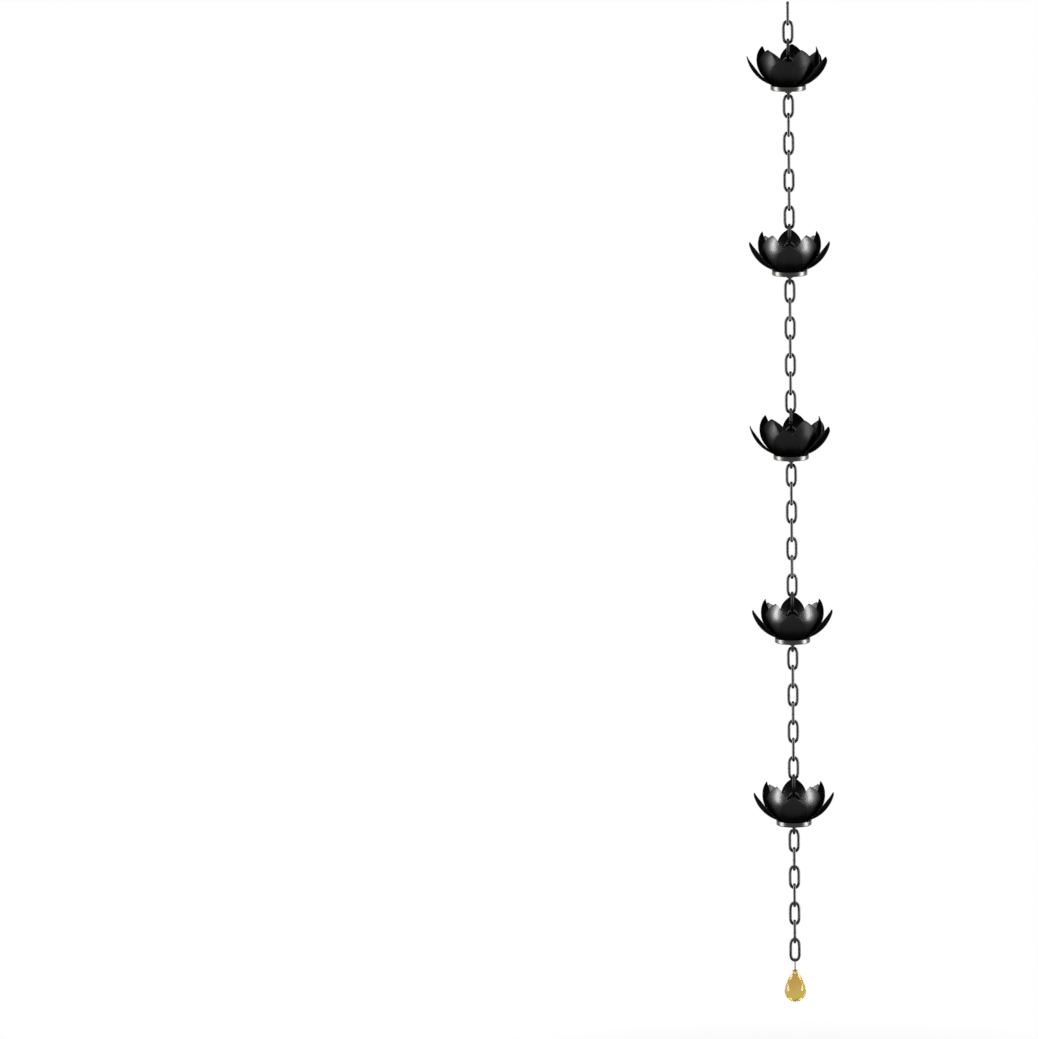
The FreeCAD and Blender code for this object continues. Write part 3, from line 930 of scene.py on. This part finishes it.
@dataclass
class Studio:
    """White room: a pale floor that fades to the background, soft lamps and a world."""

    floor_drop: float = 0.22    # metres from the drop's foot down to the floor
    floor_radius: float = 40.0
    floor_around: int = 64
    floor_colour: str = "#e6e6e6"
    floor_glow: float = 0.22    # what it adds to its lit colour, to come out near white
    shadow_reach: float = 0.95  # radius within which the floor shows a shadow
    shadow_core: float = 0.25   # share of that radius within which it shows fully
    ambient: float = 0.42
    side_turn: float = 74.0     # degrees from the front to each tall lamp
    side_distance: float = 1.9
    side_size: tuple[float, float] = (0.34, 2.5)
    side_power: float = 26.0
    board_distance: float = 1.2
    petal_turn: float = 60.0    # degrees from the front to each board that petals show
    petal_width: float = 0.26
    petal_reach: tuple[float, float] = (-0.37, 0.9)  # of a board's ends from its cup
    petal_glow: tuple[tuple[float, float], ...] = (
        (24.0, 14.0), (112.0, 112.0), (24.0, 14.0), (112.0, 112.0), (112.0, 112.0))
    outer_share: float = 0.55   # of that glow which the outer sheets show
    metal_turn: float = 88.0    # degrees from the front to each board that links and bands show
    metal_width: float = 0.5
    metal_reach: tuple[float, float] = (-0.2, 0.7)  # of their ends past the foot and the top
    metal_glow: tuple[float, float] = (26.0, 28.0)
    top_place: tuple[float, float] = (-1.2, 1.4)    # y of the top lamp, and height over the top
    top_size: float = 1.6
    top_power: float = 22.0
    bounces: int = 20           # that light may take, since it turns often inside cut glass

    def seen(self, sheet: NodeSheet) -> bpy.types.NodeSocket:
        """1 for rays that show the background: from the camera, in gloss and through glass."""
        path = sheet.add("ShaderNodeLightPath").outputs
        shown = sheet.add("ShaderNodeMath", {0: path["Is Camera Ray"], 1: path["Is Glossy Ray"]},
                          operation="MAXIMUM")
        return sheet.add("ShaderNodeMath",
                         {0: shown.outputs[0], 1: path["Is Transmission Ray"]},
                         operation="MAXIMUM").outputs[0]

    def world(self) -> None:
        """A white background for what is seen, and a plain dimmer sky for what is lit."""
        world = bpy.data.worlds.new("white_room")
        bpy.context.scene.world = world
        sheet = NodeSheet(world)
        lit = sheet.add("ShaderNodeBackground", None,
                        {"Color": (1, 1, 1, 1), "Strength": self.ambient})
        white = sheet.add("ShaderNodeBackground", None, {"Color": (1, 1, 1, 1), "Strength": 1.0})
        both = sheet.add("ShaderNodeMixShader", {0: self.seen(sheet), 1: lit.outputs[0],
                                                 2: white.outputs[0]})
        sheet.add("ShaderNodeOutputWorld", {"Surface": both.outputs[0]})

    def floor(self, foot: float) -> None:
        """A round pale floor; away from the object it turns to plain white.

        Args:
            foot: height of the object's lowest point, metres.
        """
        angle = round_angles(self.floor_around)
        rings = np.array([0.0, 1.0, self.floor_radius])[:, None] / MM
        disc = Shell.woven(rings * np.cos(angle), rings * np.sin(angle),
                           (foot - self.floor_drop) / MM, ring=True, flipped=True)
        floor = make_piece("pale_floor", disc)
        sheet = MaterialSheet("pale_floor_paint")
        flat = sheet.add("ShaderNodeVectorMath", {0: sheet.where}, {1: (1, 1, 0)},
                         operation="MULTIPLY")
        away = sheet.add("ShaderNodeVectorMath", {0: flat.outputs[0]}, operation="LENGTH")
        fade = sheet.add("ShaderNodeMapRange", {"Value": away.outputs["Value"]},
                         {"From Min": self.shadow_reach * self.shadow_core,
                          "From Max": self.shadow_reach})
        shown = sheet.add("ShaderNodeMath", {0: self.seen(sheet), 1: fade.outputs["Result"]},
                          operation="MULTIPLY")
        paint = sheet.add("ShaderNodeBsdfDiffuse", None, {"Color": linear(self.floor_colour)})
        glow = sheet.add("ShaderNodeEmission", {"Strength": self.seen(sheet)},
                         {"Color": (self.floor_glow, self.floor_glow, self.floor_glow, 1)})
        pale = sheet.add("ShaderNodeAddShader", {0: paint.outputs[0], 1: glow.outputs[0]})
        white = sheet.add("ShaderNodeEmission", None, {"Color": (1, 1, 1, 1), "Strength": 1.0})
        both = sheet.add("ShaderNodeMixShader", {0: shown.outputs[0], 1: pale.outputs[0],
                                                 2: white.outputs[0]})
        floor.data.materials.append(sheet.coated(both.outputs[0]))
        floor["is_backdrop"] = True

    def lamp(self, name: str, place: Vector, aim: Vector, size: tuple[float, float],
             power: float) -> bpy.types.Object:
        """Adds a soft rectangular lamp.

        Args:
            name: the lamp's name.
            place: its middle, metres.
            aim: the point that it faces.
            size: width and height, metres.
            power: watts.

        Returns:
            The lamp.
        """
        light = bpy.data.lights.new(name, "AREA")
        light.shape = "RECTANGLE"
        light.size, light.size_y = size
        light.energy = power
        lamp = bpy.data.objects.new(name, light)
        bpy.context.scene.collection.objects.link(lamp)
        lamp.location = place
        lamp.rotation_euler = (aim - place).to_track_quat("-Z", "Y").to_euler()
        lamp.visible_camera = False
        return lamp

    def receivers(self, pattern: str) -> bpy.types.Collection:
        """Gathers the pieces whose names fit a pattern, once for each pattern."""
        if pattern not in bpy.data.collections:
            made = bpy.data.collections.new(pattern)
            for piece in bpy.data.objects:
                if re.fullmatch(pattern, piece.name):
                    made.objects.link(piece)
        return bpy.data.collections[pattern]

    def boards(self, low: float, high: float, cups: Sequence[float]) -> list[Board]:
        """A pair of boards for each sheet of each cup, and a tall pair for links and bands.

        Args:
            low: height of the object's foot, metres.
            high: height of its top.
            cups: heights of the cups, from the top one down.

        Returns:
            The boards.
        """
        made = []
        down, up = self.petal_reach
        for side, way in enumerate((-1, 1)):
            name = ("left", "right")[side]
            made.append(Board(f"{name}_metal_board", way * self.metal_turn, self.metal_width,
                              low + self.metal_reach[0], high + self.metal_reach[1],
                              self.metal_glow[side], "link_.*|.*_band"))
            for cup, height in enumerate(cups, 1):
                glow = self.petal_glow[cup - 1][side]
                for sheet, share in (("inner", 1.0), ("outer", self.outer_share)):
                    made.append(Board(f"cup_{cup}_{sheet}_{name}_board", way * self.petal_turn,
                                      self.petal_width, height + down, height + up,
                                      glow * share, f"cup_{cup}_{sheet}_sheet"))
        return made

    def place(self, board: Board) -> None:
        """Stands a board up, where it shows only in the gloss of its pieces."""
        turn = math.radians(board.degrees)
        place = Vector((math.sin(turn), -math.cos(turn), 0)) * self.board_distance
        place.z = (board.low + board.high) / 2
        height = board.high - board.low
        lamp = self.lamp(board.name, place, Vector((0, 0, place.z)), (board.width, height),
                         board.glow * math.pi * board.width * height)
        lamp.visible_diffuse = False
        lamp.visible_transmission = False
        lamp.light_linking.receiver_collection = self.receivers(board.shown_in)

    def build(self, low: Vector, high: Vector, cups: Sequence[float]) -> None:
        """Sets up the plain view, the world, the floor, the lamps and the boards.

        Args:
            low: the object's lowest corner, metres.
            high: the object's highest corner.
            cups: heights of the cups, from the top one down.
        """
        scene = bpy.context.scene
        scene.view_settings.view_transform = "Standard"
        scene.cycles.max_bounces = self.bounces
        scene.cycles.transmission_bounces = self.bounces
        scene.cycles.glossy_bounces = self.bounces
        self.world()
        self.floor(low.z)
        middle = Vector((0, 0, (low.z + high.z) / 2))
        for side, name in ((-1, "left_lamp"), (1, "right_lamp")):
            turn = math.radians(self.side_turn)
            away = Vector((side * math.sin(turn), -math.cos(turn), 0)) * self.side_distance
            self.lamp(name, middle + away, middle, self.side_size, self.side_power)
        for board in self.boards(low.z, high.z, cups):
            self.place(board)
        y, rise = self.top_place
        self.lamp("top_lamp", Vector((0, y, high.z + rise)), middle,
                  (self.top_size, self.top_size), self.top_power)


@dataclass
class LongLens:
    """The photograph's view: a distant long lens, level across and a little above the chain.

    Pixels are of the photograph's own frame. The lens is turned, not shifted, to bring the chain
    to its place at the right of the picture.
    """

    frame_width: int = 1038
    frame_height: int = 1039
    chain_x: float = 791.5      # pixel column of the chain's middle
    top_y: float = 4.5          # pixel rows of the chain's two ends
    foot_y: float = 1004.8
    elevation: float = 8.8      # degrees
    distance: float = 20.0      # metres
    lean: float = 0.45          # degrees that the hanging chain leans in the picture
    sensor: float = 36.0
    clip_end: float = 200.0

    def build(self, low: Vector, high: Vector) -> None:
        """Places the camera: its lens comes from the chain's length and the rows it spans.

        Args:
            low: the object's lowest corner, metres.
            high: the object's highest corner.
        """
        tilt = math.radians(self.elevation)
        seen_length = (high.z - low.z) * math.cos(tilt)
        metres_a_pixel = seen_length / (self.foot_y - self.top_y)
        lens = self.sensor * self.distance / (metres_a_pixel * self.frame_height)
        middle = Vector((0, 0, (low.z + high.z) / 2))
        view = Vector((0, math.cos(tilt), -math.sin(tilt)))
        pixel = self.sensor / self.frame_height
        right = (self.chain_x - self.frame_width / 2) * pixel
        down = ((self.top_y + self.foot_y) / 2 - self.frame_height / 2) * pixel
        data = bpy.data.cameras.new("long_lens")
        data.sensor_width = self.sensor
        data.lens = lens
        data.clip_end = self.clip_end
        camera = bpy.data.objects.new("long_lens", data)
        bpy.context.scene.collection.objects.link(camera)
        bpy.context.scene.camera = camera
        camera.location = middle - view * self.distance
        aim = Euler((math.atan2(down, lens), math.atan2(right, lens), math.radians(-self.lean)))
        camera.rotation_mode = "QUATERNION"
        camera.rotation_quaternion = view.to_track_quat("-Z", "Y") @ aim.to_quaternion()


def corners(box: tuple[Vector, Vector]) -> list[list[float]]:
    """A box as plain lists of numbers."""
    return [list(corner) for corner in box]


def main() -> None:
    """Builds the rain chain, its stage and its camera."""
    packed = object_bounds()
    petal_coat = BlackenedSteel("blackened_steel_sheet", colour="#1f1f1f",
                                roughness=0.34).material()
    wire_coat = PowderCoat("gloss_black_powder_coat", colour="#0e0e0f", roughness=0.13).material()
    gunmetal = TurnedGunmetal("turned_gunmetal", colour="#31312f", pale="#3f3f3d",
                              roughness=0.3).material()
    dulled = DulledWire("dulled_wire", colour="#48433a", roughness=0.5).material()
    amber = AmberGlass("cut_amber_glass", colour="#bf9439", low_colour="#bfaa48", roughness=0.02,
                       ior=1.52, top=packed[0].z + 0.036, change=0.028).material()

    link = WireOval(wire=5.0, eye_length=31.0, eye_width=9.5, bow_gain=0.8, shoulder=20.0,
                    seam_width=2.2, seam_proud=0.22)
    chain = Chain(link)
    chain.build(wire_coat)

    outer = PetalSheet(corner_radius=28.0, fold_length=7.0, fold_angle=20.0, length=73.0,
                       tip_angle=82.0)
    inner = PetalSheet(corner_radius=outer.apothem, fold_length=8.0, fold_angle=24.0, length=79.5,
                       tip_angle=118.0)
    cup = Cup(chain, Collar(), outer, inner, HangerBar())
    cup.build(petal_coat, gunmetal, wire_coat)

    ring = WireOval(wire=1.8, eye_length=22.0, eye_width=7.4, bow_gain=0.3, shoulder=12.0,
                    around=16)
    Foot(chain, ring).build(dulled, amber)

    Studio().build(*packed, [cup.bottom(number) * MM for number in range(CUPS)])
    LongLens().build(*packed)


if __name__ == "__main__":
    main()
